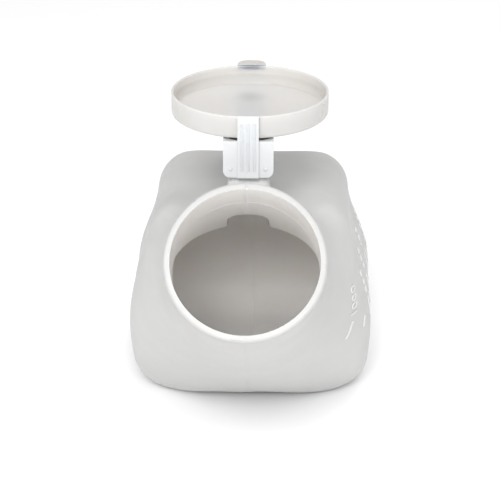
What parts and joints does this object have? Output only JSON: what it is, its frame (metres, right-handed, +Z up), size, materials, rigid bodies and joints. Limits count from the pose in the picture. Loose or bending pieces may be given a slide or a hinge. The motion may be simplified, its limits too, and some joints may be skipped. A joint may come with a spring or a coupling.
{
  "type": "urine bottle",
  "caption": "Flat-lying translucent plastic urine bottle with a tilted round mouth, a hollow top handle and a hinged snap lid on a strap and clip.",
  "frame": {"origin": "middle of the object's bounding box at the level of the base it lies on", "axes": "+Z up, -Y towards the mouth, +Y towards the rear end that the bottle also stands on, +X to the right of someone facing the mouth"},
  "size_m": [0.1066, 0.1948, 0.1408],
  "materials": {
    "bottle_plastic": "translucent natural polyethylene, satin as blown, softly cloudy",
    "lid_plastic": "thin translucent natural plastic, satin moulded",
    "strap_plastic": "opaque white moulded plastic, soft gloss"
  },
  "bodies": {
    "bottle_body": {"bottle": "bottle_plastic", "handle_clip": "strap_plastic"},
    "strap_body": {"hinge_strap": "strap_plastic"},
    "lid_body": {"lid": "lid_plastic"}
  },
  "joints": [
    {"name": "strap_bend", "type": "hinge", "parent": "bottle_body", "child": "strap_body", "pos_m": [0, -0.0311, 0.1133], "axis": [1, 0, 0], "range_deg": [0, 76]},
    {"name": "lid_bend", "type": "hinge", "parent": "strap_body", "child": "lid_body", "pos_m": [0, -0.0311, 0.1371], "axis": [1, 0, 0], "range_deg": [0, 153.5]}
  ]
}
